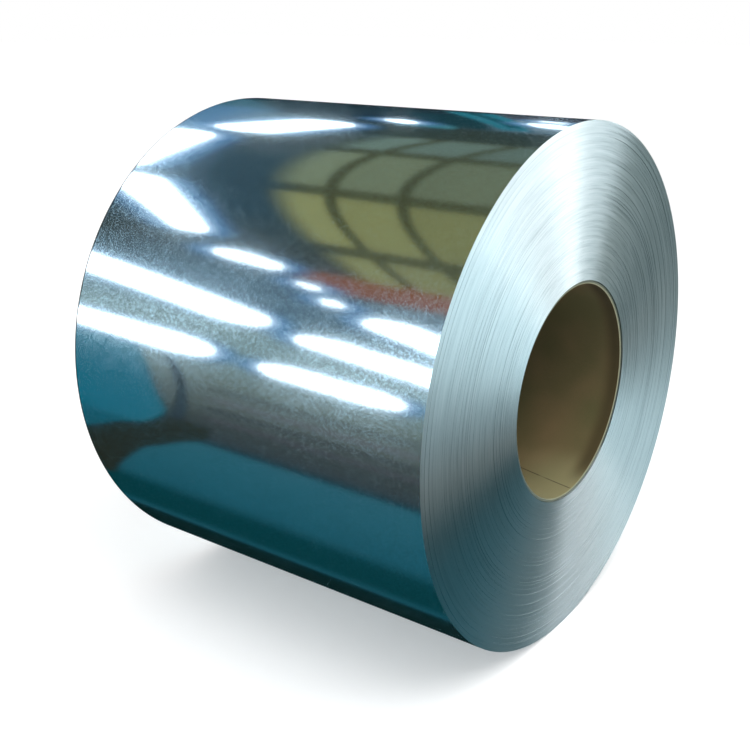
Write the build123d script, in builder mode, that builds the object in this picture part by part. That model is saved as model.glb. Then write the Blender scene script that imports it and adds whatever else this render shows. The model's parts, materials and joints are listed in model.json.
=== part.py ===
"""A coil of thin zinc-coated steel strip wound on a paper core, lying on its side.

Millimetres. +X runs along the coil's axis towards the end that the photograph shows,
+Z is up, and the origin is on the floor under the middle of the coil.
"""
from build123d import *
import math
import os

os.makedirs("parts", exist_ok=True)

# Driving dimensions of the strip and the coil
strip_width = 1000.0
strip_thickness = 0.5
outer_diameter = 1230.0

# Driving dimensions of the paper core, whose bore fits a standard 508 mm mandrel
core_bore = 508.0
core_wall = 8.0
core_recess = 3.0
core_clearance = 0.2

# The strip drifts sideways as it is wound, so its turns lie in bands of uneven height
band_count = 16
band_unevenness = 0.32
band_rhythm = 1.9
edge_drift = 0.9
quick_drift_share = 0.6
slow_drift_waves = 2.3
quick_drift_waves = 7.6

# The outer lap ends low on the far side, at this angle from +Y towards +Z
tail_angle = -50.0

# Radii and lengths that follow
outer_radius = outer_diameter / 2
core_inner_radius = core_bore / 2
core_outer_radius = core_inner_radius + core_wall
eye_radius = core_outer_radius + core_clearance
core_length = strip_width - 2 * core_recess
band_height = (outer_radius - eye_radius) / band_count

# The outer lap is a spiral made of two half circles, each about its own centre.
# The first starts at the tail, and the second ends one thickness below it.
lap_shift = strip_thickness / 4
first_lap_radius = outer_radius - lap_shift
second_lap_radius = first_lap_radius - 2 * lap_shift

# The coil rests on the second half circle, which sets the height of the axis
axis_height = second_lap_radius + lap_shift * math.sin(math.radians(tail_angle))
axis_point = (0, 0, axis_height)
coil_axis = Axis(axis_point, (1, 0, 0))
lengthwise_plane = Plane(axis_point, x_dir=(1, 0, 0), z_dir=(0, -1, 0))
crosswise_plane = Plane(axis_point, x_dir=(0, 1, 0), z_dir=(1, 0, 0))


def band_edge(edge):
    """Radius of the line between two bands; the last lies outside the coil, to be trimmed."""
    if edge == 0:
        return eye_radius
    if edge == band_count:
        return outer_radius + band_height
    return eye_radius + band_height * (edge + band_unevenness * math.sin(band_rhythm * edge))


def band_drift(band):
    """How far a band stands towards +X: a slow wander with a quicker one on it."""
    way_out = 2 * math.pi * band / band_count
    slow = math.sin(slow_drift_waves * way_out)
    quick = quick_drift_share * math.sin(quick_drift_waves * way_out)
    return edge_drift * (slow + quick)


def wound_section():
    """Corners of the coil's half section, as (distance along the axis, radius).

    The strip has one width all along, so a band that stands out of one end is as
    far inside the other.
    """
    seen_end = []
    far_end = []
    for band in range(band_count):
        for radius in (band_edge(band), band_edge(band + 1)):
            seen_end.append((strip_width / 2 + band_drift(band), radius))
            far_end.append((-strip_width / 2 + band_drift(band), radius))
    return seen_end + far_end[::-1]


def off_axis(distance, angle):
    """The point at this distance and angle from the coil's axis, seen along it."""
    turn = math.radians(angle)
    return (distance * math.cos(turn), distance * math.sin(turn))


# The wound strip: one turned solid, with the edges of its bands of turns on its ends
with BuildPart() as steel_coil:
    with BuildSketch(lengthwise_plane):
        with BuildLine():
            Polyline(*wound_section(), close=True)
        make_face()
    revolve(axis=coil_axis)

    # The outer lap trims it to a spiral, which leaves the strip's tail as a step
    with BuildSketch(crosswise_plane):
        with BuildLine():
            first_half = CenterArc(off_axis(lap_shift, tail_angle), first_lap_radius, tail_angle, 180)
            second_half = CenterArc(
                off_axis(-lap_shift, tail_angle), second_lap_radius, tail_angle + 180, 180
            )
            Line(second_half @ 1, first_half @ 0)
        make_face()
    extrude(amount=strip_width, both=True, mode=Mode.INTERSECT)
steel_coil.part.label = "steel_coil"

# The paper core: a plain tube, cut a little shorter than the strip is wide
with BuildPart() as paper_core:
    with BuildSketch(crosswise_plane.offset(-core_length / 2)):
        Circle(core_outer_radius)
        Circle(core_inner_radius, mode=Mode.SUBTRACT)
    extrude(amount=core_length)
paper_core.part.label = "paper_core"

export_step(steel_coil.part, "parts/steel_coil.step")
export_step(paper_core.part, "parts/paper_core.step")
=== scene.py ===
# %% [markdown]
# # A coil of zinc-coated steel strip, lying on its side
#
# The object is two things: nearly two kilometres of bright steel strip wound tight on itself,
# and the paper tube it was wound on. Its shape is almost a plain drum, so nearly all of its
# look is in two finishes. The outer lap is a curved mirror, and each end is the cut edges of
# some seven hundred turns, which catch the light as the grooves of a record do.
#
# The frame that the model was packed in gives every size used here, so a piece goes where
# its numbers say.

# %% Load the frame and read the coil's sizes from it
import bpy
import json
import math
import numpy as np
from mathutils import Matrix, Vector

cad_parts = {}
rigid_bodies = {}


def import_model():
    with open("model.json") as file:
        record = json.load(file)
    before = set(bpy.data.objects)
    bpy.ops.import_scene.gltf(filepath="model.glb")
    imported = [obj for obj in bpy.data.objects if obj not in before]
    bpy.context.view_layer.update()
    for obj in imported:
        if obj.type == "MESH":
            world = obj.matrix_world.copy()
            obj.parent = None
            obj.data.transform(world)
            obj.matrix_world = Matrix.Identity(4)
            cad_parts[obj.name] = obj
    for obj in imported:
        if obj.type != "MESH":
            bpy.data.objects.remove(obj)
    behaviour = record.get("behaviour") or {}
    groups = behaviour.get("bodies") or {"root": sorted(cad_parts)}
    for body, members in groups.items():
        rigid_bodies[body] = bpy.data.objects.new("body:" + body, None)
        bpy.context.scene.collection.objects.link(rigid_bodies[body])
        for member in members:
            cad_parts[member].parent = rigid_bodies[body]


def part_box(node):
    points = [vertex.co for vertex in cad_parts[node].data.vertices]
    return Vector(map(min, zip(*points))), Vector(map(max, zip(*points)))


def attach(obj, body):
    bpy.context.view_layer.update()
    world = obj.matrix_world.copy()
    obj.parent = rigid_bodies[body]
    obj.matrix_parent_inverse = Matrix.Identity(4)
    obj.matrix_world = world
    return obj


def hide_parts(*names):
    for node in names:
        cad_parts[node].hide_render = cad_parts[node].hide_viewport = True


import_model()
scene = bpy.context.scene
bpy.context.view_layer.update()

coil_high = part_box("steel_coil")[1]
core_low, core_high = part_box("paper_core")
axis_height = (core_low[2] + core_high[2]) / 2
outer_radius = coil_high[2] - axis_height
core_outer_radius = (core_high[2] - core_low[2]) / 2
core_half_length = (core_high[0] - core_low[0]) / 2
print(f"outer radius {outer_radius:.4f} m, axis {axis_height:.4f} m above the floor")
print(f"core radius {core_outer_radius:.4f} m, half length {core_half_length:.4f} m")

# %% [markdown]
# ## The camera
#
# The seen end is an ellipse, and so is the mouth of the bore. Their shapes and places fix
# where a camera stood, once the coil's real proportions are known: to the right of the coil's
# side, a little above it, and near enough for the far end to look smaller. The picture was
# cut a little off its centre, which a small lens shift repeats.

# %% Stand the camera where the photograph was taken
photo_size = 750
camera_azimuth = 34.66
camera_elevation = 19.663
camera_distance = 2.6586
focal_pixels = 1031.25
middle_pixel = 435
aim_right, aim_up = 0.0897, -0.0551


def direction(azimuth, elevation):
    """Unit vector towards a place on the sky: azimuth 0 is -Y and 90 is +X, in degrees."""
    turn, rise = math.radians(azimuth), math.radians(elevation)
    return Vector((math.sin(turn) * math.cos(rise), -math.cos(turn) * math.cos(rise), math.sin(rise)))


coil_centre = Vector((0, 0, axis_height))
away = direction(camera_azimuth, camera_elevation)
camera_right = direction(camera_azimuth + 90, 0)
camera_up = away.cross(camera_right)
aim = coil_centre + camera_right * aim_right + camera_up * aim_up

camera = bpy.data.objects.new("camera", bpy.data.cameras.new("camera"))
scene.collection.objects.link(camera)
camera.location = aim + away * camera_distance
camera.rotation_mode = "QUATERNION"
camera.rotation_quaternion = away.to_track_quat("Z", "Y")
camera.data.sensor_width = 36
camera.data.lens = focal_pixels * camera.data.sensor_width / photo_size
camera.data.shift_x = (photo_size / 2 - middle_pixel) / photo_size
scene.camera = camera
print(f"lens {camera.data.lens:.1f} mm, shift {camera.data.shift_x:.3f}")

# %% [markdown]
# ## A surface is a grid
#
# Every new piece is a sheet of points: rows along its profile, columns around or along it.
# Where the sheet runs back into itself, as round a coil, the last column joins the first,
# and the mesh is closed with no seam to weld. The order of a cell's corners says which way
# it faces, so a sheet whose rows run the other way is flipped, and a print checks the lap.

# %% Put a grid of points into a mesh
def grid_faces(rows, columns, close_rows, close_columns):
    """Four corner numbers for each cell of a grid, wrapping round where it is closed."""
    row = np.arange(rows if close_rows else rows - 1)
    column = np.arange(columns if close_columns else columns - 1)
    row, column = np.meshgrid(row, column, indexing="ij")
    next_row, next_column = (row + 1) % rows, (column + 1) % columns
    corners = [(row, column), (row, next_column), (next_row, next_column), (next_row, column)]
    return np.stack([r * columns + c for r, c in corners], axis=-1).reshape(-1, 4)


def mesh_from_grid(name, points, close_rows=False, close_columns=False, flip=False):
    """A mesh object whose vertices are a (rows, columns, 3) array, in metres. flip turns its faces round."""
    rows, columns = points.shape[:2]
    faces = grid_faces(rows, columns, close_rows, close_columns)
    if flip:
        faces = faces[:, ::-1]
    mesh = bpy.data.meshes.new(name)
    mesh.from_pydata(points.reshape(-1, 3), [], faces)
    thing = bpy.data.objects.new(name, mesh)
    scene.collection.objects.link(thing)
    return thing


def tell_size(thing):
    print(f"{thing.name}: {len(thing.data.vertices)} vertices, {2 * len(thing.data.polygons)} triangles")


# %% [markdown]
# ## The wound strip
#
# A coil's section never changes as it goes round, so one profile carried round the axis
# makes the whole of it. What makes it a coil and not a drum is on the ends. The strip wanders
# a little as it is wound, so its turns stand out or sit back in narrow rings, the same way
# at both ends because the strip has one width. And the outer lap is a spiral: it loses one
# thickness of strip all the way round, and gets it back in one step, at the tail.

# %% Choose how the strip was wound
strip_width = 1.0
strip_thickness = 0.0005
tail_angle = math.radians(-50)
core_clearance = 0.0002
eye_radius = core_outer_radius + core_clearance
columns_round, lap_rows, ring_count = 240, 6, 84
ring_height_scatter = 0.38
wander_depth, wander_turns = 0.00045, 2.3
ring_scatter, most_stand = 0.00022, 0.0012

# The box's top is at 90 degrees, where the lap has already lost some of its thickness.
lost_at_top = (math.pi / 2 - tail_angle) / (2 * math.pi)
tail_radius = outer_radius + strip_thickness * lost_at_top

winding = np.random.default_rng(7)
ring_edges = np.linspace(0, 1, ring_count + 1)
height_change = winding.uniform(-ring_height_scatter, ring_height_scatter, ring_count - 1)
ring_edges[1:-1] += height_change / ring_count
ring_radii = eye_radius + (tail_radius - eye_radius) * ring_edges
slow_wander = wander_depth * np.sin(wander_turns * 2 * math.pi * ring_edges[:-1])
ring_stand = np.clip(slow_wander + winding.normal(0, ring_scatter, ring_count), -most_stand, most_stand)
print(f"rings {1000 * np.diff(ring_radii).min():.1f} to {1000 * np.diff(ring_radii).max():.1f} mm high")


# %% Carry the profile round the axis
def turned(section, radius, angle):
    """Points of a section carried round the axis: x stays, and radius and angle give y and z."""
    along = np.broadcast_to(section[:, 0, None], radius.shape)
    return np.stack([along, radius * np.cos(angle), axis_height + radius * np.sin(angle)], axis=-1)


def wound_strip():
    """The coil as a grid: rows follow its section, columns go round from the tail.

    Along the section, each ring gives two points on the seen end and two on the far end,
    at half the strip's width plus the ring's own stand. Round the axis the angle grows by
    equal steps, with one more column just before the tail. The rows of the outer lap lose
    one thickness of strip in proportion to the angle.
    """
    seen_x = np.repeat(strip_width / 2 + ring_stand, 2)
    pair_radii = np.repeat(ring_radii, 2)[1:-1]
    lap_x = np.linspace(seen_x[-1], seen_x[-1] - strip_width, lap_rows + 2)[1:-1]
    along = np.concatenate([seen_x, lap_x, seen_x[::-1] - strip_width])
    height = np.concatenate([pair_radii, np.full(lap_rows, tail_radius), pair_radii[::-1]])
    section = np.stack([along, height], axis=1)

    just_before_tail = 1 - 1e-4
    round_share = np.append(np.arange(columns_round) / columns_round, just_before_tail)
    on_lap = height >= tail_radius - 1e-9
    radius = height[:, None] - on_lap[:, None] * strip_thickness * round_share
    return turned(section, radius, tail_angle + 2 * math.pi * round_share)


steel = mesh_from_grid("wound_strip", wound_strip(), close_rows=True, close_columns=True, flip=True)
tell_size(steel)


# %% Mark the outer lap's faces, and keep the corners between rings sharp
lap_depth = 0.002


def face_vectors(mesh, what):
    """An array with one row for each face: its "center" or its "normal"."""
    values = np.empty(3 * len(mesh.polygons))
    mesh.polygons.foreach_get(what, values)
    return values.reshape(-1, 3)


from_axis = face_vectors(steel.data, "center") - np.array(coil_centre)
facing = face_vectors(steel.data, "normal")
outermost = np.hypot(from_axis[:, 1], from_axis[:, 2]) > tail_radius - lap_depth
is_lap = outermost & (np.abs(facing[:, 0]) < 0.5)
steel.data.polygons.foreach_set("material_index", np.where(is_lap, 0, 1).astype(np.int32))
steel.data.shade_smooth()
steel.data.set_sharp_from_angle(angle=math.radians(40))
print("the lap faces", "outwards" if (from_axis * facing)[is_lap].sum() > 0 else "inwards")

# %% [markdown]
# ## The paper core
#
# The core is a tube of pasted paper, a little under a centimetre thick. It is cut a few
# millimetres shorter than the strip is wide, so it sits back inside the eye and leaves a thin
# shadow round its edge. Its own profile goes round the same axis: out along the hidden
# outside, over the cut rim with its slightly softened corners, and back along the wall that
# faces the bore.

# %% Carry the tube's profile round the axis
core_wall = 0.008
rim_softness = 0.0012
core_columns, core_rows = 192, 28
core_inner_radius = core_outer_radius - core_wall


def paper_tube():
    """The tube as a grid: rows follow a rounded rectangle, columns go round.

    The rectangle is the tube's wall in section. Its corners are quarter circles of the
    rim's softness, and its long inner side has a row every few centimetres.
    """
    quarter = np.radians(np.linspace(0, 90, 5))
    end = core_half_length - rim_softness * (1 - np.cos(quarter))
    rise = rim_softness * (1 - np.sin(quarter))
    inner_mouth = np.stack([end, core_inner_radius + rise], axis=1)
    outer_mouth = np.stack([end, core_outer_radius - rise], axis=1)
    lengths = np.linspace(end[-1], -end[-1], core_rows + 2)[1:-1]
    section = np.concatenate([
        inner_mouth,
        np.stack([lengths, np.full_like(lengths, core_inner_radius)], axis=1),
        inner_mouth[::-1] * [-1, 1],
        outer_mouth * [-1, 1],
        outer_mouth[::-1],
    ])
    angle = 2 * math.pi * np.arange(core_columns) / core_columns
    radius = np.broadcast_to(section[:, 1, None], (len(section), core_columns))
    return turned(section, radius, angle)


paper = mesh_from_grid("paper_tube", paper_tube(), close_rows=True, close_columns=True)
paper.data.shade_smooth()
paper.data.set_sharp_from_angle(angle=math.radians(60))
tell_size(paper)

# %% [markdown]
# ## Materials from small helpers
#
# A material is a handful of nodes joined one by one. A few short helpers keep that readable:
# one adds a node with its settings and inputs, two do sums, one with numbers and one with
# vectors, and one turns a colour as seen on a screen into the linear numbers that shaders use.

# %% Helpers for node trees
def screen_colour(red, green, blue, gain=1.0):
    """Linear colour from the 0 to 255 numbers of a screen: the display curve undone, times a gain."""
    share = np.array([red, green, blue]) / 255
    linear = np.where(share <= 0.04045, share / 12.92, ((share + 0.055) / 1.055) ** 2.4)
    return (*(linear * gain).tolist(), 1.0)


def add_node(tree, kind, inputs=None, **settings):
    """A new node of a tree, with settings by attribute and inputs by name or number.

    An input is a plain value, or another node's output socket to link from. A group's own
    inputs exist only once its node_tree is set, so settings come first.
    """
    node = tree.nodes.new(kind)
    for name, value in settings.items():
        setattr(node, name, value)
    for key, value in (inputs or {}).items():
        if isinstance(value, bpy.types.NodeSocket):
            tree.links.new(value, node.inputs[key])
        else:
            node.inputs[key].default_value = value
    return node


def sum_of(tree, operation, *values):
    """The output of a Math node: one operation on numbers or sockets."""
    return add_node(tree, "ShaderNodeMath", dict(enumerate(values)), operation=operation).outputs[0]


def vector_of(tree, operation, *values, scale=None):
    """The output of a Vector Math node. A length or a dot product comes out as a number."""
    inputs = dict(enumerate(values))
    if scale is not None:
        inputs["Scale"] = scale
    node = add_node(tree, "ShaderNodeVectorMath", inputs, operation=operation)
    return node.outputs["Value" if operation in ("LENGTH", "DOT_PRODUCT") else "Vector"]


def own_place(tree):
    """Where a point is, in metres. Every piece's own origin is the frame's."""
    return add_node(tree, "ShaderNodeTexCoord").outputs["Object"]


def new_material(name):
    """An empty node material and its tree."""
    material = bpy.data.materials.new(name)
    material.use_nodes = True
    material.node_tree.nodes.clear()
    return material, material.node_tree


def colour_steps(tree, amount, stops):
    """A colour ramp read at an amount from 0 to 1. stops is a list of (place, colour)."""
    ramp = add_node(tree, "ShaderNodeValToRGB", {0: amount})
    elements = ramp.color_ramp.elements
    while len(elements) < len(stops):
        elements.new(0.5)
    for element, (place, colour) in zip(elements, stops):
        element.position = place
        element.color = colour
    return ramp.outputs["Color"]


def mix_colours(tree, share, first, second):
    """Colour that goes from the first to the second as the share goes from 0 to 1."""
    node = add_node(tree, "ShaderNodeMix", data_type="RGBA")
    colour_inputs = [socket for socket in node.inputs if socket.type == "RGBA"]
    for socket, value in ((node.inputs[0], share), (colour_inputs[0], first), (colour_inputs[1], second)):
        if isinstance(value, bpy.types.NodeSocket):
            tree.links.new(value, socket)
        else:
            socket.default_value = value
    return next(socket for socket in node.outputs if socket.type == "RGBA")


def tell_nodes(material):
    print(f"{material.name}: {len(material.node_tree.nodes)} nodes")


def soft_step(tree, value, low, high):
    """0 below low, 1 above high and smooth between them. low may be the larger, to turn it round."""
    node = add_node(tree, "ShaderNodeMapRange", {"Value": value, "From Min": low, "From Max": high},
                    interpolation_type="SMOOTHSTEP")
    return node.outputs["Result"]


# %% Effects that several materials share, as node groups
def new_group(name, inputs, outputs):
    """An empty shader node group. inputs are (name, kind, default), and outputs (name, kind)."""
    group = bpy.data.node_groups.new(name, "ShaderNodeTree")
    for label, kind, default in inputs:
        socket = group.interface.new_socket(label, in_out="INPUT", socket_type=kind)
        if default is not None:
            socket.default_value = default
    for label, kind in outputs:
        group.interface.new_socket(label, in_out="OUTPUT", socket_type=kind)
    return group, add_node(group, "NodeGroupInput"), add_node(group, "NodeGroupOutput")


def make_round_coordinates():
    """Where a point is on the coil: its distance along the axis, its radius and its angle.

    The radius is the length of the part of the position square to the axis. The ring
    vector holds the whole number of ring heights in the radius, times a step so large that
    neighbours have nothing in common, and the sine and cosine of the angle times the arc
    change. A noise read there gives each ring its own run of arcs, which the arc change
    makes shorter.
    """
    ring_step = 7.13
    group, entry, leave = new_group(
        "round_coordinates",
        [("Axis height", "NodeSocketFloat", 0.6), ("Ring height", "NodeSocketFloat", 0.003),
         ("Arc change", "NodeSocketFloat", 3.0)],
        [("Along", "NodeSocketFloat"), ("Radius", "NodeSocketFloat"), ("Angle", "NodeSocketFloat"),
         ("Ring vector", "NodeSocketVector")],
    )
    parts = add_node(group, "ShaderNodeSeparateXYZ", {0: own_place(group)})
    level = sum_of(group, "SUBTRACT", parts.outputs["Z"], entry.outputs["Axis height"])
    across = add_node(group, "ShaderNodeCombineXYZ", {"Y": parts.outputs["Y"], "Z": level}).outputs[0]
    radius = vector_of(group, "LENGTH", across)
    unit = vector_of(group, "NORMALIZE", across)
    drift = vector_of(group, "SCALE", unit, scale=entry.outputs["Arc change"])
    drift = add_node(group, "ShaderNodeSeparateXYZ", {0: drift})
    number = sum_of(group, "FLOOR", sum_of(group, "DIVIDE", radius, entry.outputs["Ring height"]))
    far_apart = sum_of(group, "MULTIPLY", number, ring_step)
    ring = add_node(group, "ShaderNodeCombineXYZ", {
        "X": far_apart, "Y": drift.outputs["Y"], "Z": drift.outputs["Z"]})
    angle = sum_of(group, "ARCTAN2", level, parts.outputs["Y"])
    found = {"Along": parts.outputs["X"], "Radius": radius, "Angle": angle, "Ring vector": ring.outputs[0]}
    for name, socket in found.items():
        group.links.new(socket, leave.inputs[name])
    return group


def make_fine_grain():
    """Speckle of one grain size: noise from about -1 to 1, centred on zero, times its amount."""
    group, entry, leave = new_group(
        "fine_grain",
        [("Vector", "NodeSocketVector", None), ("Grain size", "NodeSocketFloat", 0.002),
         ("Amount", "NodeSocketFloat", 1.0)],
        [("Value", "NodeSocketFloat")],
    )
    per_metre = sum_of(group, "DIVIDE", 1.0, entry.outputs["Grain size"])
    noise = add_node(group, "ShaderNodeTexNoise", {
        "Vector": entry.outputs["Vector"], "Scale": per_metre, "Detail": 1.5, "Roughness": 0.6})
    centred = sum_of(group, "MULTIPLY_ADD", noise.outputs[0], 2.0, -1.0)
    group.links.new(sum_of(group, "MULTIPLY", centred, entry.outputs["Amount"]), leave.inputs["Value"])
    return group


def make_crystal_grains():
    """Flat crystals: each cell of a Voronoi pattern has its own tone from 0 to 1 and its own tilt.

    The tilt is a cell's random vector, centred on zero and scaled apart along the axis and
    round it, added to the surface's own normal.
    """
    group, entry, leave = new_group(
        "crystal_grains",
        [("Vector", "NodeSocketVector", None), ("Grain size", "NodeSocketFloat", 0.004),
         ("Tilt along", "NodeSocketFloat", 0.002), ("Tilt round", "NodeSocketFloat", 0.02)],
        [("Tone", "NodeSocketFloat"), ("Normal", "NodeSocketVector")],
    )
    per_metre = sum_of(group, "DIVIDE", 1.0, entry.outputs["Grain size"])
    cells = add_node(group, "ShaderNodeTexVoronoi", {"Vector": entry.outputs["Vector"], "Scale": per_metre})
    drawn = add_node(group, "ShaderNodeSeparateXYZ", {0: cells.outputs["Color"]})
    centred = [sum_of(group, "MULTIPLY_ADD", drawn.outputs[axis], 2.0, -1.0) for axis in ("X", "Y", "Z")]
    tilts = [sum_of(group, "MULTIPLY", part, entry.outputs[amount])
             for part, amount in zip(centred, ("Tilt along", "Tilt round", "Tilt round"))]
    tilt = add_node(group, "ShaderNodeCombineXYZ", dict(enumerate(tilts))).outputs[0]
    normal = add_node(group, "ShaderNodeNewGeometry").outputs["Normal"]
    tipped = vector_of(group, "NORMALIZE", vector_of(group, "ADD", normal, tilt))
    tone = add_node(group, "ShaderNodeTexWhiteNoise", {"Vector": cells.outputs["Position"]})
    group.links.new(tone.outputs["Value"], leave.inputs["Tone"])
    group.links.new(tipped, leave.inputs["Normal"])
    return group


round_coordinates = make_round_coordinates()
fine_grain = make_fine_grain()
crystal_grains = make_crystal_grains()
print("shared effects:", ", ".join(group.name for group in (round_coordinates, fine_grain, crystal_grains)))


def grain(tree, vector, size, amount=1.0):
    """The value of a fine_grain group placed in a tree."""
    return add_node(tree, "ShaderNodeGroup", {"Vector": vector, "Grain size": size, "Amount": amount},
                    node_tree=fine_grain).outputs["Value"]


def round_place(tree, ring_height=0.003, arc_change=1.0):
    """The round_coordinates group placed in a tree."""
    return add_node(tree, "ShaderNodeGroup", {
        "Axis height": axis_height, "Ring height": ring_height, "Arc change": arc_change},
        node_tree=round_coordinates)


# %% [markdown]
# ## The outer lap: a mirror with a little frost on it
#
# Bright zinc coating mirrors what stands round it. It is a skin of crystals a few millimetres
# wide. Most are nearly as smooth as glass, some are duller, and each is tipped by a hair. So a
# light's image has a crisp edge and, round it, a halo of specks, which is how the eye tells a
# coated sheet from a polished one.
#
# Two metal lobes make that: a clear mirror, and a rougher haze with some blue in it. The cells
# of a Voronoi pattern are the crystals, and each one's own tone sets its share of haze. A
# tangent that runs round the axis draws both lobes out one way, as rolling does. Along the
# far edge the strip is rolled over, and its shade there is painted in as a thin dark line.

# %% Bright coated strip
mirror_lobe = (0.06, (0.675, 0.705, 0.72, 1), (0.795, 0.825, 0.835, 1))
haze_lobe = (0.19, (0.46, 0.60, 0.70, 1), (0.56, 0.73, 0.85, 1))
crystal_size = 0.0032
least_haze, haze_by_tone = 0.06, 0.34
# Painted shade along the far edge, where the strip is rolled over: where it starts, where it is darkest, and
# its tint.
edge_shadow_width, edge_shadow_full = 0.0045, 0.0025
edge_shadow_tint = (0.03, 0.03, 0.035, 1)


def bright_strip():
    """Metal whose mirror and haze are mixed crystal by crystal.

    The haze's share is the square of the crystal's tone times a factor, plus the least share.
    Each lobe is a roughness, its darkest tint and its lightest.
    """
    material, tree = new_material("bright_coated_strip")
    where = own_place(tree)
    crystals = add_node(tree, "ShaderNodeGroup", {
        "Vector": where, "Grain size": crystal_size, "Tilt along": 0.0004, "Tilt round": 0.0035},
        node_tree=crystal_grains)
    tone = crystals.outputs["Tone"]
    shade = sum_of(tree, "MULTIPLY_ADD", grain(tree, where, 0.09), 0.3, tone)
    along = add_node(tree, "ShaderNodeSeparateXYZ", {0: where}).outputs["X"]
    far_edge = -strip_width / 2
    # A thin dark line of painted shade along the rolled far edge.
    edge_shadow_share = soft_step(tree, along, far_edge + edge_shadow_width, far_edge + edge_shadow_full)
    tangent = add_node(tree, "ShaderNodeTangent", direction_type="RADIAL", axis="X")
    lobes = []
    for roughness, darkest, lightest in (mirror_lobe, haze_lobe):
        tint = colour_steps(tree, shade, [(0.0, darkest), (1.0, lightest)])
        tint = mix_colours(tree, edge_shadow_share, tint, edge_shadow_tint)
        lobe = add_node(tree, "ShaderNodeBsdfPrincipled", {
            "Base Color": tint, "Metallic": 1.0, "Roughness": roughness, "Anisotropic": 1.0,
            "Normal": crystals.outputs["Normal"], "Tangent": tangent.outputs[0]})
        lobes.append(lobe.outputs[0])
    tone_squared = sum_of(tree, "MULTIPLY", tone, tone)
    haze_share = sum_of(tree, "MULTIPLY_ADD", tone_squared, haze_by_tone, least_haze)
    shader = add_node(tree, "ShaderNodeMixShader", {0: haze_share, 1: lobes[0], 2: lobes[1]})
    add_node(tree, "ShaderNodeOutputMaterial", {"Surface": shader.outputs[0]})
    return material


steel.data.materials.append(bright_strip())
tell_nodes(steel.data.materials[-1])

# %% [markdown]
# ## The ends: seven hundred cut edges
#
# Each end is the sheared edges of the turns, thinner than a camera sees one by one. Grooves
# that fine scatter light across themselves and hardly along themselves. A shader calls that
# anisotropy: the highlight is drawn out along the radius, and the end lights up in broad rays
# from the bore to the rim. The slitting knife also rolls the outer corner of each edge over,
# so on average the edges lean outwards by some ten degrees, which makes the rays of one side
# brighter than their opposites. On top come the rings that can be seen, where a few turns
# stand proud or sit back: broad ones that run a long way round, finer ones in shorter arcs,
# and hair lines in the shortest.

# %% Sheared strip edges
edge_lean = math.tan(math.radians(10))
ring_lean = math.tan(math.radians(4))
ring_layers = [(0.0085, 1.6), (0.0034, 3.5), (0.0016, 6.0)]
shear_tones = [(0.2, (0.65, 0.68, 0.68, 1)), (0.5, (0.755, 0.78, 0.78, 1)), (0.8, (0.82, 0.83, 0.83, 1))]
step_shade_tone = (0.34, 0.37, 0.38, 1)


def sheared_edges():
    """Grooved metal: rings of three heights tone it and lean it, and the steps between rings take painted
    shade.

    A ring layer is a ring's height in metres and its arc change. The normal leans outwards
    by the edges' own lean plus the rings' sum times the rings' lean.
    """
    material, tree = new_material("sheared_strip_edges")
    layers = [round_place(tree, *layer).outputs["Ring vector"] for layer in ring_layers]
    broad, fine, hair = (grain(tree, layer, 1.0) for layer in layers)
    rings = sum_of(tree, "MULTIPLY_ADD", broad, 0.5, sum_of(tree, "MULTIPLY_ADD", hair, 0.8, fine))
    shade = colour_steps(tree, sum_of(tree, "MULTIPLY_ADD", rings, 0.5, 0.5), shear_tones)
    geometry = add_node(tree, "ShaderNodeNewGeometry").outputs
    # Painted shade: the walls of the steps between rings, which face round the axis, are darkened.
    along_axis = vector_of(tree, "DOT_PRODUCT", geometry["True Normal"], (1, 0, 0))
    on_step = soft_step(tree, sum_of(tree, "ABSOLUTE", along_axis), 0.9, 0.5)
    shade = mix_colours(tree, on_step, shade, step_shade_tone)
    outward = vector_of(tree, "SUBTRACT", geometry["Position"], tuple(coil_centre))
    outward = vector_of(tree, "NORMALIZE", vector_of(tree, "MULTIPLY", outward, (0, 1, 1)))
    lean = sum_of(tree, "MULTIPLY_ADD", rings, ring_lean, edge_lean)
    leaning = vector_of(tree, "SCALE", outward, scale=lean)
    normal = vector_of(tree, "NORMALIZE", vector_of(tree, "ADD", geometry["Normal"], leaning))
    tangent = add_node(tree, "ShaderNodeTangent", direction_type="RADIAL", axis="X")
    shader = add_node(tree, "ShaderNodeBsdfPrincipled", {
        "Base Color": shade, "Metallic": 1.0, "Roughness": 0.41, "Anisotropic": 0.95,
        "Anisotropic Rotation": 0.25, "Normal": normal, "Tangent": tangent.outputs[0]})
    add_node(tree, "ShaderNodeOutputMaterial", {"Surface": shader.outputs[0]})
    return material


steel.data.materials.append(sheared_edges())
tell_nodes(steel.data.materials[-1])

# %% [markdown]
# ## Kraft paper
#
# The core's wall is brown kraft paper, dull and slightly mottled. Its innermost sheet ends
# in a lap that winds slowly along the bore and comes out low on the near side, where it
# shows as a dark line, worn away in places. Low at the mouth the wall is painted paler, as
# painted light, and on the right it is darker just inside, as painted shade. The cut rim is
# paler than the wall, because a saw leaves loose fibre. Towards the steel it is darker with
# painted shade, along the bore it is palest with a painted highlight, and on its left it is
# darkened with a painted shadow.

# %% Kraft paper core
seam_mouth_angle = math.radians(-86.4)
seam_turn_per_metre = math.radians(-43)
wall_tones = [(0.25, screen_colour(90, 86, 54)), (0.75, screen_colour(116, 98, 68))]
rim_shade_and_highlight = [(0.0, screen_colour(106, 112, 96)), (1.0, screen_colour(150, 150, 122))]
lit_mouth_tan, shaded_brown = screen_colour(134, 128, 92), screen_colour(70, 60, 34)
seam_brown, rim_shadow_grey = screen_colour(54, 46, 30), screen_colour(72, 86, 84)


def from_middle(tree, along, start, end):
    """0 to 1 as the distance from the core's middle goes from the start to the end."""
    return soft_step(tree, sum_of(tree, "ABSOLUTE", along), start, end)


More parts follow.
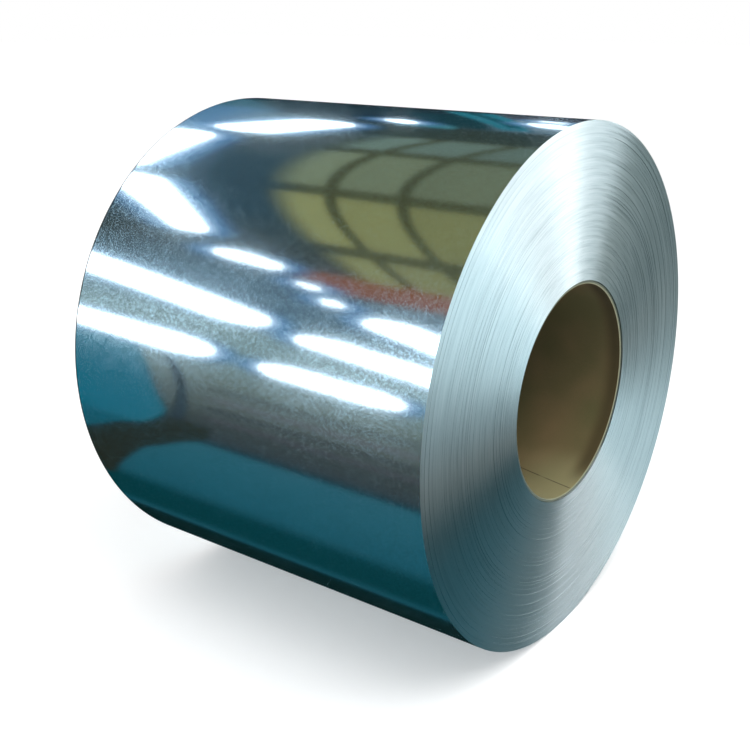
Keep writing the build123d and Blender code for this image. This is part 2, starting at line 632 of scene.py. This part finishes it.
def paper_wall(tree, where, fibre, along, angle):
    """Colour of the wall: mottled paper, then painted light low at the mouth and painted shade just inside
    it on the right, then the seam.

    The seam's angle is its angle at the mouth plus its turn per metre times the way from there.
    """
    mixed = sum_of(tree, "MULTIPLY_ADD", fibre, 0.4, grain(tree, where, 0.16))
    colour = colour_steps(tree, sum_of(tree, "MULTIPLY_ADD", mixed, 0.7, 0.5), wall_tones)
    # Painted light: the wall is paler low down near the mouth.
    near_mouth = from_middle(tree, along, core_half_length - 0.24, core_half_length)
    low_down = soft_step(tree, sum_of(tree, "SINE", angle), -0.8, -1.0)
    colour = mix_colours(tree, sum_of(tree, "MULTIPLY", near_mouth, low_down), colour, lit_mouth_tan)
    # Painted shade: the wall is darker just inside the mouth on the right.
    at_mouth = from_middle(tree, along, core_half_length - 0.05, core_half_length - 0.012)
    on_right = soft_step(tree, sum_of(tree, "COSINE", angle), 0.1, 0.5)
    colour = mix_colours(tree, sum_of(tree, "MULTIPLY", at_mouth, on_right), colour, shaded_brown)
    seam_angle = sum_of(tree, "MULTIPLY_ADD", along, seam_turn_per_metre,
                        seam_mouth_angle - seam_turn_per_metre * core_half_length)
    from_seam = sum_of(tree, "ABSOLUTE", sum_of(tree, "SUBTRACT", angle, seam_angle))
    still_there = soft_step(tree, grain(tree, where, 0.04), -0.7, 0.1)
    seam = sum_of(tree, "MULTIPLY", soft_step(tree, from_seam, 0.009, 0.003), still_there)
    return mix_colours(tree, seam, colour, seam_brown)


def cut_rim(tree, radius, angle):
    """Colour of the cut rim: painted shade towards the steel, a painted highlight along the bore, and a
    painted shadow on the left.
    """
    # Painted light and shade on the rim: darker towards the steel, palest along the bore, greyer on the left
    # in painted shadow.
    bore_side = soft_step(tree, radius, core_inner_radius + 0.0026, core_inner_radius + 0.0012)
    on_left = soft_step(tree, sum_of(tree, "COSINE", angle), -0.2, -0.9)
    return mix_colours(tree, on_left, colour_steps(tree, bore_side, rim_shade_and_highlight), rim_shadow_grey)


def kraft_paper():
    """Dull paper with a fine fibre in relief, whose colour changes over where the rim is cut."""
    material, tree = new_material("kraft_paper")
    place = round_place(tree)
    along, radius, angle = (place.outputs[name] for name in ("Along", "Radius", "Angle"))
    where = own_place(tree)
    fibre = grain(tree, where, 0.0018)
    on_rim = from_middle(tree, along, core_half_length - 0.0016, core_half_length - 0.0008)
    wall = paper_wall(tree, where, fibre, along, angle)
    colour = mix_colours(tree, on_rim, wall, cut_rim(tree, radius, angle))
    bump = add_node(tree, "ShaderNodeBump", {"Height": fibre, "Strength": 0.3, "Distance": 0.0003})
    shader = add_node(tree, "ShaderNodeBsdfPrincipled", {
        "Base Color": colour, "Roughness": 0.8, "Normal": bump.outputs[0]})
    add_node(tree, "ShaderNodeOutputMaterial", {"Surface": shader.outputs[0]})
    return material


paper.data.materials.append(kraft_paper())
tell_nodes(paper.data.materials[-1])

# %% [markdown]
# ## The studio
#
# A mirror has no look of its own: it shows what stands round it. So the studio is dressed
# for the coil, as a studio is for chrome, with strip lights, panes of olive card and teal
# cloth far off all round. Only mirrored rays see them, so they light nothing else and never
# show behind the object. The plain light comes from a white sky and one soft lamp, and the
# floor keeps its shadow.
#
# A place out there is given by two angles, as seen from the coil. "Off axis" is the angle
# from the coil's own axis. "Up" goes round the axis: 0 is level towards the viewer's side,
# 90 is overhead, and below 0 is the ground. Each card has a twin, turned half way round the
# coil, so that the coil looks as good from behind.

# %% Places on a far sphere, and cards there whose edges are soft
straight_points, round_points = 6, 9
halo_near, halo_far = 0.12, 0.4
card_distance = 60.0
cloth_distance = 63.0
centre = np.array(coil_centre)


def far_place(off_axis, up):
    """Point on the far sphere at two angles in degrees, on the side that the lap mirrors."""
    off_axis, up = np.radians(off_axis), np.radians(up)
    from_axis = np.sin(off_axis)
    unit = np.stack([-np.cos(off_axis), -from_axis * np.cos(up), from_axis * np.sin(up)], axis=-1)
    return centre + card_distance * unit


def only_mirrored(thing):
    """Makes a stage piece visible to mirrored rays alone."""
    thing.visible_camera = False
    thing.visible_diffuse = False
    thing.visible_transmission = False
    thing.visible_volume_scatter = False
    thing.visible_shadow = False


def card_and_twin(name, points, edge, material, closer=0.0, close_columns=False):
    """A card, and its twin on the far side. edge is 0 inside the card and 1 where it has faded out.

    closer moves both in by that share of the way to the coil, so that one card lies over another.
    """
    for label, turn in (("front", 1), ("behind", -1)):
        placed = centre + (points - centre) * [turn, turn, 1] * (1 - closer)
        card = mesh_from_grid(f"{name}_{label}", placed, close_columns=close_columns)
        fading = card.data.attributes.new("edge", "FLOAT", "POINT")
        fading.data.foreach_set("value", edge.ravel().astype(np.float32))
        card.data.materials.append(material)
        only_mirrored(card)


def card_between(ups, lefts, rights, bend=0.0, soft=0.5, soft_left=None):
    """A card between two edges, which are off-axis angles at a few heights, or one for them all.

    Between those heights an edge runs straight. The bend adds itself times the square of
    the angle from overhead, and the card fades out over the soft angle past each side. Its
    left side may be softer than the others.
    """
    soft_left = soft if soft_left is None else soft_left
    lefts, rights = np.broadcast_to(lefts, len(ups)), np.broadcast_to(rights, len(ups))
    rising = np.concatenate([[ups[0] - soft], np.linspace(ups[0], ups[-1], 33), [ups[-1] + soft]])
    share = np.linspace(0, 1, 9)
    left, right = np.interp(rising, ups, lefts), np.interp(rising, ups, rights)
    inside = left[:, None] + (right - left)[:, None] * share
    across = np.concatenate([left[:, None] - soft_left, inside, right[:, None] + soft], axis=1)
    across = across + bend * (rising[:, None] - 90) ** 2
    edge = np.ones_like(across)
    edge[1:-1, 1:-1] = 0
    return far_place(across, np.broadcast_to(rising[:, None], across.shape)), edge


def strip_light(start, end, start_width, end_width, halo=2.4):
    """A light with round ends between two places, as wide at each as an angle in degrees.

    Its rows are outlines at growing distances from the line between the places. Each goes
    along one side, round the far end in a half circle, back, and round the near end. Up
    angles count at their true size, which is smaller near the axis.
    """
    start, end = np.array(start, float), np.array(end, float)
    true_size = np.array([1.0, math.sin(math.radians((start[0] + end[0]) / 2))])
    line = (end - start) * true_size
    length = np.hypot(*line)
    run = np.linspace(0, length, straight_points + 2)[1:-1]
    turn = np.linspace(-90, 90, round_points)
    base = np.concatenate([np.full(round_points, length), run[::-1], np.zeros(round_points), run])
    one_side, other_side = np.full(straight_points, 90), np.full(straight_points, 270)
    facing = np.radians(np.concatenate([turn, one_side, turn + 180, other_side]))
    core = (start_width + (end_width - start_width) * base / length) / 2
    distance = np.stack([0 * core, core, core + halo_near * halo, core + halo_far * halo, core + halo])
    along, across = base + distance * np.cos(facing), distance * np.sin(facing)
    unit = line / length
    square = np.array([-unit[1], unit[0]])
    angles = (start * true_size + along[..., None] * unit + across[..., None] * square) / true_size
    return far_place(angles[..., 0], angles[..., 1]), np.clip((distance - core) / halo, 0, 1)


# %% What the cards give off
steel_shine = 0.75


def as_mirrored(red, green, blue):
    """What a card gives off for the steel, which returns only its shine's share, to show a screen colour."""
    return screen_colour(red, green, blue, gain=1 / steel_shine)


def glowing(name, colour, strength=1.0, halo=None):
    """A card's material: it gives off its colour, and fades out across its edge.

    With a halo, the edge first takes the halo's colour, with a little white left, and then fades.
    """
    material, tree = new_material(name)
    edge = add_node(tree, "ShaderNodeAttribute", attribute_name="edge").outputs["Fac"]
    fade_start = 0.0
    if halo:
        white_left = 0.12
        white = (*(strength * part for part in colour[:3]), 1.0)
        near = tuple(white_left * a + (1 - white_left) * b for a, b in zip(white, halo))
        colour = colour_steps(tree, edge, [(0.0, white), (halo_near, near), (halo_far, halo)])
        strength, fade_start = 1.0, halo_near
    glow = add_node(tree, "ShaderNodeEmission", {"Color": colour, "Strength": strength})
    clear = add_node(tree, "ShaderNodeBsdfTransparent")
    faded = soft_step(tree, edge, fade_start, 1.0)
    shown = add_node(tree, "ShaderNodeMixShader", {0: faded, 1: glow.outputs[0], 2: clear.outputs[0]})
    add_node(tree, "ShaderNodeOutputMaterial", {"Surface": shown.outputs[0]})
    material.cycles.emission_sampling = "NONE"
    return material


def put_card(name, ups, lefts, rights, colour, closer, strength=1.0, **shape):
    """A card of one colour between two edges, with its twin. The shape is its bend and its softness."""
    points, edge = card_between(ups, lefts, rights, **shape)
    card_and_twin(name, points, edge, glowing(name, colour, strength), closer=closer)


# %% The studio's tones, as the steel shows them
deep_teal = as_mirrored(4, 52, 57)
teal = as_mirrored(25, 80, 94)
bright_teal = as_mirrored(36, 92, 106)
ink = as_mirrored(20, 44, 54)
mauve = as_mirrored(50, 57, 59)
slate = as_mirrored(52, 60, 57)
grey = as_mirrored(98, 111, 107)
pale_grey = as_mirrored(116, 138, 138)
steel_blue = as_mirrored(74, 98, 110)
dark_slate = as_mirrored(44, 66, 76)
tarred = as_mirrored(34, 38, 30)
bar_olive = as_mirrored(62, 66, 46)
rust = as_mirrored(122, 74, 52)


# %% The cloth that closes the studio
cloth_tones = [
    (-90, deep_teal), (-82, deep_teal), (-74, teal), (-43, bright_teal), (-41, ink),
    (-38, mauve), (-29, slate), (-9, grey), (3, pale_grey), (18, pale_grey),
    (28, steel_blue), (40, steel_blue), (55, slate), (75, dark_slate), (90, dark_slate),
]
white_cloth, grey_cloth = (0.73, 0.985, 1.07), (0.95, 1.0, 0.95)
front_angles = [-60, -35, -26, -18, -11, -4, 4, 12, 20, 30, 75]
front_tints = [grey_cloth] * 3 + [white_cloth] * 8
near_lights = [0.32, 0.38, 0.4, 0.6, 1.0, 1.6, 2.3, 2.1, 0.9, 0.05, 0.05]
far_lights = [0.34, 0.52, 0.5, 0.5, 0.36, 1.5, 2.5, 3.2, 2.6, 0.5, 0.05]
front_starts, front_full = math.radians(35.5), math.radians(33)
side_blend = 0.06 * card_distance ** 2


def front_cloth(tree, elevation, lights):
    """Colour by elevation in front of an end: each angle's light times its cloth's tint."""
    stops = [(0.5 + 0.5 * math.sin(math.radians(angle)), (*(light * part for part in tint), 1.0))
             for angle, light, tint in zip(front_angles, lights, front_tints)]
    return colour_steps(tree, elevation, stops)


def studio_cloth():
    """Colour by height round the coil's axis, and a bright, pale cloth in front of each end.

    The front cloth has one set of lights by elevation on the near side of the axis and
    another beyond it, and the product of x and y tells the two sides apart.
    """
    material, tree = new_material("studio_cloth")
    from_coil = vector_of(tree, "SUBTRACT", own_place(tree), tuple(coil_centre))
    parts = add_node(tree, "ShaderNodeSeparateXYZ", {0: from_coil})
    level = sum_of(tree, "ABSOLUTE", parts.outputs["Y"])
    rising = sum_of(tree, "ARCTAN2", parts.outputs["Z"], level)
    height = sum_of(tree, "MULTIPLY_ADD", rising, 1 / math.pi, 0.5)
    side = colour_steps(tree, height, [((angle + 90) / 180, tone) for angle, tone in cloth_tones])
    elevation = sum_of(tree, "MULTIPLY_ADD", parts.outputs["Z"], 0.5 / cloth_distance, 0.5)
    fronts = [front_cloth(tree, elevation, lights) for lights in (near_lights, far_lights)]
    past_axis = sum_of(tree, "MULTIPLY", parts.outputs["X"], parts.outputs["Y"])
    front = mix_colours(tree, soft_step(tree, past_axis, -side_blend, side_blend), *fronts)
    near_axis = sum_of(tree, "DIVIDE", sum_of(tree, "ABSOLUTE", parts.outputs["X"]), cloth_distance)
    in_front = soft_step(tree, near_axis, math.cos(front_starts), math.cos(front_full))
    glow = add_node(tree, "ShaderNodeEmission", {"Color": mix_colours(tree, in_front, side, front)})
    add_node(tree, "ShaderNodeOutputMaterial", {"Surface": glow.outputs[0]})
    material.cycles.emission_sampling = "NONE"
    return material


def sphere_points():
    """The cloth's sphere as a grid: off-axis angle by angle round the axis, a little past the cards."""
    off_axis, up = np.meshgrid(np.linspace(0.5, 179.5, 91), np.arange(0, 360, 4.0), indexing="ij")
    return centre + (far_place(off_axis, up) - centre) * cloth_distance / card_distance


cloth = mesh_from_grid("studio_cloth", sphere_points(), close_columns=True)
cloth.data.materials.append(studio_cloth())
only_mirrored(cloth)
tell_size(cloth)

# %% Strip lights
# Each one's two ends, as off axis and up, and its width at either end, all in degrees.
strip_lights = [
    ((45.6, 127.2), (49.8, 139.2), 3.2, 3.0),
    ((42.3, 118.8), (38.8, 94.0), 3.0, 3.2),
    ((40.0, 83.5), (43.3, 60.7), 3.0, 1.7),
    ((46.0, 51.0), (47.7, 49.2), 2.2, 1.8),
    ((49.9, 43.1), (50.7, 42.4), 0.4, 0.4),
    ((51.6, 37.4), (52.0, 37.0), 0.8, 0.8),
    ((55.6, 32.0), (60.7, 26.0), 3.6, 4.4),
    ((36.0, 37.0), (46.5, 23.6), 4.5, 4.0),
    ((52.2, 18.9), (60.0, 14.2), 3.9, 4.5),
    ((33.0, 8.3), (43.4, 4.4), 3.7, 4.9),
    ((50.8, 2.8), (54.8, 1.8), 4.3, 4.5),
    ((53.7, 148.9), (54.2, 147.6), 1.15, 1.15),
    ((61.9, 157.0), (62.7, 154.6), 1.6, 1.6),
    ((61.9, 163.2), (62.9, 162.4), 0.35, 0.35),
    ((64.0, 12.0), (76.0, 10.0), 5.0, 5.0),
    ((80.0, 9.5), (89.0, 9.5), 5.0, 5.0),
    ((66.0, 40.0), (86.0, 40.0), 4.0, 4.0),
]
strip_white = glowing("strip_light", (0.82, 0.95, 1.0, 1.0), 5.5, halo=as_mirrored(84, 132, 178))
for number, strip in enumerate(strip_lights):
    points, edge = strip_light(*strip)
    card_and_twin(f"strip_light_{number}", points, edge, strip_white, closer=0.04 + 0.0005 * number,
                  close_columns=True)
print(f"{len(strip_lights)} strip lights, and their twins")

# %% Panes of olive card between dark bars
pane_bend = 0.0034
sage, olive = as_mirrored(116, 138, 128), as_mirrored(134, 137, 92)
put_card("pane_bars", [47.5, 136], 50, 76, bar_olive, closer=0.01, bend=pane_bend, soft=1.6, soft_left=3.4)

# Each row's lowest and highest angle, its light, and how much of it is olive. The rest is sage.
pane_rows = [(49.5, 59, 0.9, 1.0), (63.5, 87, 1.0, 1.0), (92.5, 115.5, 0.8, 0.5), (119.5, 131, 0.75, 0.0)]
pane_columns = [(48.9, 50.0), (51.2, 54.1), (55.3, 60.6), (62.0, 74.0)]
for row, (low, high, light, olive_share) in enumerate(pane_rows):
    for column, (left, right) in enumerate(pane_columns):
        fade = light * (1 - 0.13 * column)
        tone = [fade * (a + (b - a) * olive_share) for a, b in zip(sage[:3], olive[:3])]
        put_card(f"pane_{row}_{column}", [low, high], left, right, (*tone, 1.0), closer=0.02,
                 bend=pane_bend, soft_left=2.2 if column == 0 else 0.5)
print(f"{len(pane_rows) * len(pane_columns)} panes, and their twins")

# %% Glow over the left, and dark and teal overhead
put_card("blue_glow", [96, 150], [30, 38], [40.5, 44.5], as_mirrored(70, 112, 144), closer=0.01, soft=3.5)
put_card("dark_overhead", [146, 200], [48.5, 45.5], [56, 58], as_mirrored(22, 40, 48), closer=0.01,
         soft=2.5)
put_card("upper_bar", [133, 144], 51.5, 76, as_mirrored(44, 54, 50), closer=0.012, soft=2.0)
put_card("dark_strand", [170, 177], 44, [56.5, 57.5], as_mirrored(26, 42, 50), closer=0.015, soft=2.0)
put_card("ink_overhead", [146, 164], [55.6, 54.6], [58.6, 57.6], as_mirrored(18, 50, 58), closer=0.015,
         soft=1.0)
put_card("teal_patch", [144, 146.5], 54, 56.6, as_mirrored(58, 124, 136), closer=0.018, soft=0.8)
put_card("blue_overhead", [150, 200], 34, 45.5, as_mirrored(52, 92, 106), closer=0.008, soft=3.0)
put_card("mauve_overhead", [163, 200], [60, 58], 76, as_mirrored(60, 62, 70), closer=0.008, soft=2.0)
put_card("dark_border", [176, 205], 34, 76, as_mirrored(26, 34, 38), closer=0.03, soft=5.0)
put_card("teal_overhead", [147, 165, 182], [59.8, 57.3, 55.3], [61.0, 59.6, 57.7],
         as_mirrored(34, 108, 124), closer=0.02)
put_card("ink_strand", [150, 165, 182], [60.2, 58.3, 56.4], [60.6, 58.7, 56.8],
         as_mirrored(20, 66, 78), closer=0.025, soft=0.3)

# %% Cards low down: a rust band, teal cloth and dark bands between
put_card("rust_band", [43, 49], 51, 76, rust, closer=0.015, soft=2.2, soft_left=3.0)
put_card("teal_cloth", [-60, -52, -45, -38, -30, -22, -12, -3, 0], 34,
         [40.7, 41.3, 42.5, 44.0, 44.0, 43.2, 42.5, 41.8, 41.6],
         as_mirrored(18, 82, 97), closer=0.01, soft=0.4)
put_card("teal_cloth_top", [-41, -30, -22, -12, -3, 0], 34, [43.4, 44.0, 43.2, 42.5, 41.8, 41.6],
         as_mirrored(22, 98, 116), closer=0.012)
put_card("dark_band", [-82, -70, -60, -55, -45, -40, -33], [40.6, 39.4, 39.4, 40.6, 42.2, 43.6, 44.6],
         [42.3, 42.6, 43.1, 43.5, 45.3, 46.6, 46.6], tarred, closer=0.02)
put_card("dark_line", [-33, -25, -17, -10, -3], [44.7, 44.8, 44.6, 44.2, 43.5],
         [45.1, 45.2, 44.9, 44.5, 43.8], as_mirrored(38, 50, 58), closer=0.02, soft=0.25)
faint_lines = ((-13, (78, 88, 88)), (-18, (91, 94, 98)), (-23, (55, 61, 63)), (-28, (67, 68, 74)))
for level, tone in faint_lines:
    put_card(f"faint_line_{-level}", [level - 0.3, level + 0.3], 47, 76, as_mirrored(*tone), closer=0.005,
             soft=1.5)
# A dark card for the floor in the coil's own shadow, as the lap mirrors it: painted shadow.
put_card("under_coil_shadow", [-180, -108], 34, 68, as_mirrored(6, 24, 22), closer=0.01, soft=4.0)

# %% Two panels that light the end
put_card("end_panel", [24, 108], 65.5, 76, (0.98, 1.0, 0.99, 1.0), closer=0.03, strength=8.8, soft=1.0)
put_card("low_panel", [-25, -5], 65.5, 76, (0.85, 1.0, 1.0, 1.0), closer=0.03, strength=0.8, soft=1.0)
stage_count = sum(thing.type == "MESH" and not thing.visible_camera for thing in scene.objects)
print(f"{stage_count} cards and cloths that mirrored rays alone see")

# %% [markdown]
# ## Floor, sky and lamp
#
# The floor is white card. Camera and mirrored rays see a little glow added to it, so it runs
# into the white of the sky with no horizon, and still takes the coil's soft shadow.

# %% Pale floor
floor_reach = 40.0
floor_glow = 0.3
floor_marks = np.linspace(-floor_reach, floor_reach, 9)
floor_y, floor_x = np.meshgrid(floor_marks, floor_marks, indexing="ij")
floor = mesh_from_grid("floor", np.stack([floor_x, floor_y, np.zeros_like(floor_x)], axis=-1))
floor.visible_glossy = False


def seen_or_mirrored(tree):
    """1 for camera, mirrored and transmitted rays, and 0 for the rays that carry light about."""
    rays = add_node(tree, "ShaderNodeLightPath")
    either = sum_of(tree, "MAXIMUM", rays.outputs["Is Camera Ray"], rays.outputs["Is Glossy Ray"])
    return sum_of(tree, "MAXIMUM", either, rays.outputs["Is Transmission Ray"])


def pale_floor():
    """White card with a faint mottle, and a little glow that only seen and mirrored rays find."""
    material, tree = new_material("pale_floor")
    share = sum_of(tree, "MULTIPLY_ADD", grain(tree, own_place(tree), 0.01), 0.5, 0.5)
    colour = colour_steps(tree, share, [(0.0, (0.90, 0.90, 0.90, 1)), (1.0, (0.92, 0.92, 0.92, 1))])
    card = add_node(tree, "ShaderNodeBsdfPrincipled", {
        "Base Color": colour, "Roughness": 0.9, "Specular IOR Level": 0.0})
    glow = add_node(tree, "ShaderNodeEmission", {
        "Color": (1, 1, 1, 1), "Strength": sum_of(tree, "MULTIPLY", seen_or_mirrored(tree), floor_glow)})
    both = add_node(tree, "ShaderNodeAddShader", {0: card.outputs[0], 1: glow.outputs[0]})
    add_node(tree, "ShaderNodeOutputMaterial", {"Surface": both.outputs[0]})
    return material


floor.data.materials.append(pale_floor())
tell_nodes(floor.data.materials[-1])

# %% White sky and one soft lamp
sky_level = 0.8
lamp_azimuth, lamp_elevation, lamp_distance = 70, 55, 4.5
world = bpy.data.worlds.new("plain_sky")
scene.world = world
world.use_nodes = True
sky = world.node_tree
sky.nodes.clear()
strength = sum_of(sky, "MULTIPLY_ADD", seen_or_mirrored(sky), 1 - sky_level, sky_level)
sky_light = add_node(sky, "ShaderNodeBackground", {"Color": (1, 1, 1, 1), "Strength": strength})
add_node(sky, "ShaderNodeOutputWorld", {"Surface": sky_light.outputs[0]})

lamp = bpy.data.objects.new("soft_lamp", bpy.data.lights.new("soft_lamp", "AREA"))
scene.collection.objects.link(lamp)
lamp.data.shape = "SQUARE"
lamp.data.size = 3.0
lamp.data.energy = 120
lamp.location = coil_centre + direction(lamp_azimuth, lamp_elevation) * lamp_distance
lamp.rotation_mode = "QUATERNION"
lamp.rotation_quaternion = (lamp.location - coil_centre).to_track_quat("Z", "Y")
lamp.visible_glossy = False

scene.view_settings.view_transform = "Standard"
print(f"sky at {sky_level} for the light it sheds, lamp {lamp.data.energy:.0f} W")

# %% Attach each piece to the root body, and hide the frame's part that it stands for
for piece, node, slot in ((steel, "steel_coil", "coated_steel"), (paper, "paper_core", "kraft_paper")):
    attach(piece, "root")
    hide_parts(node)
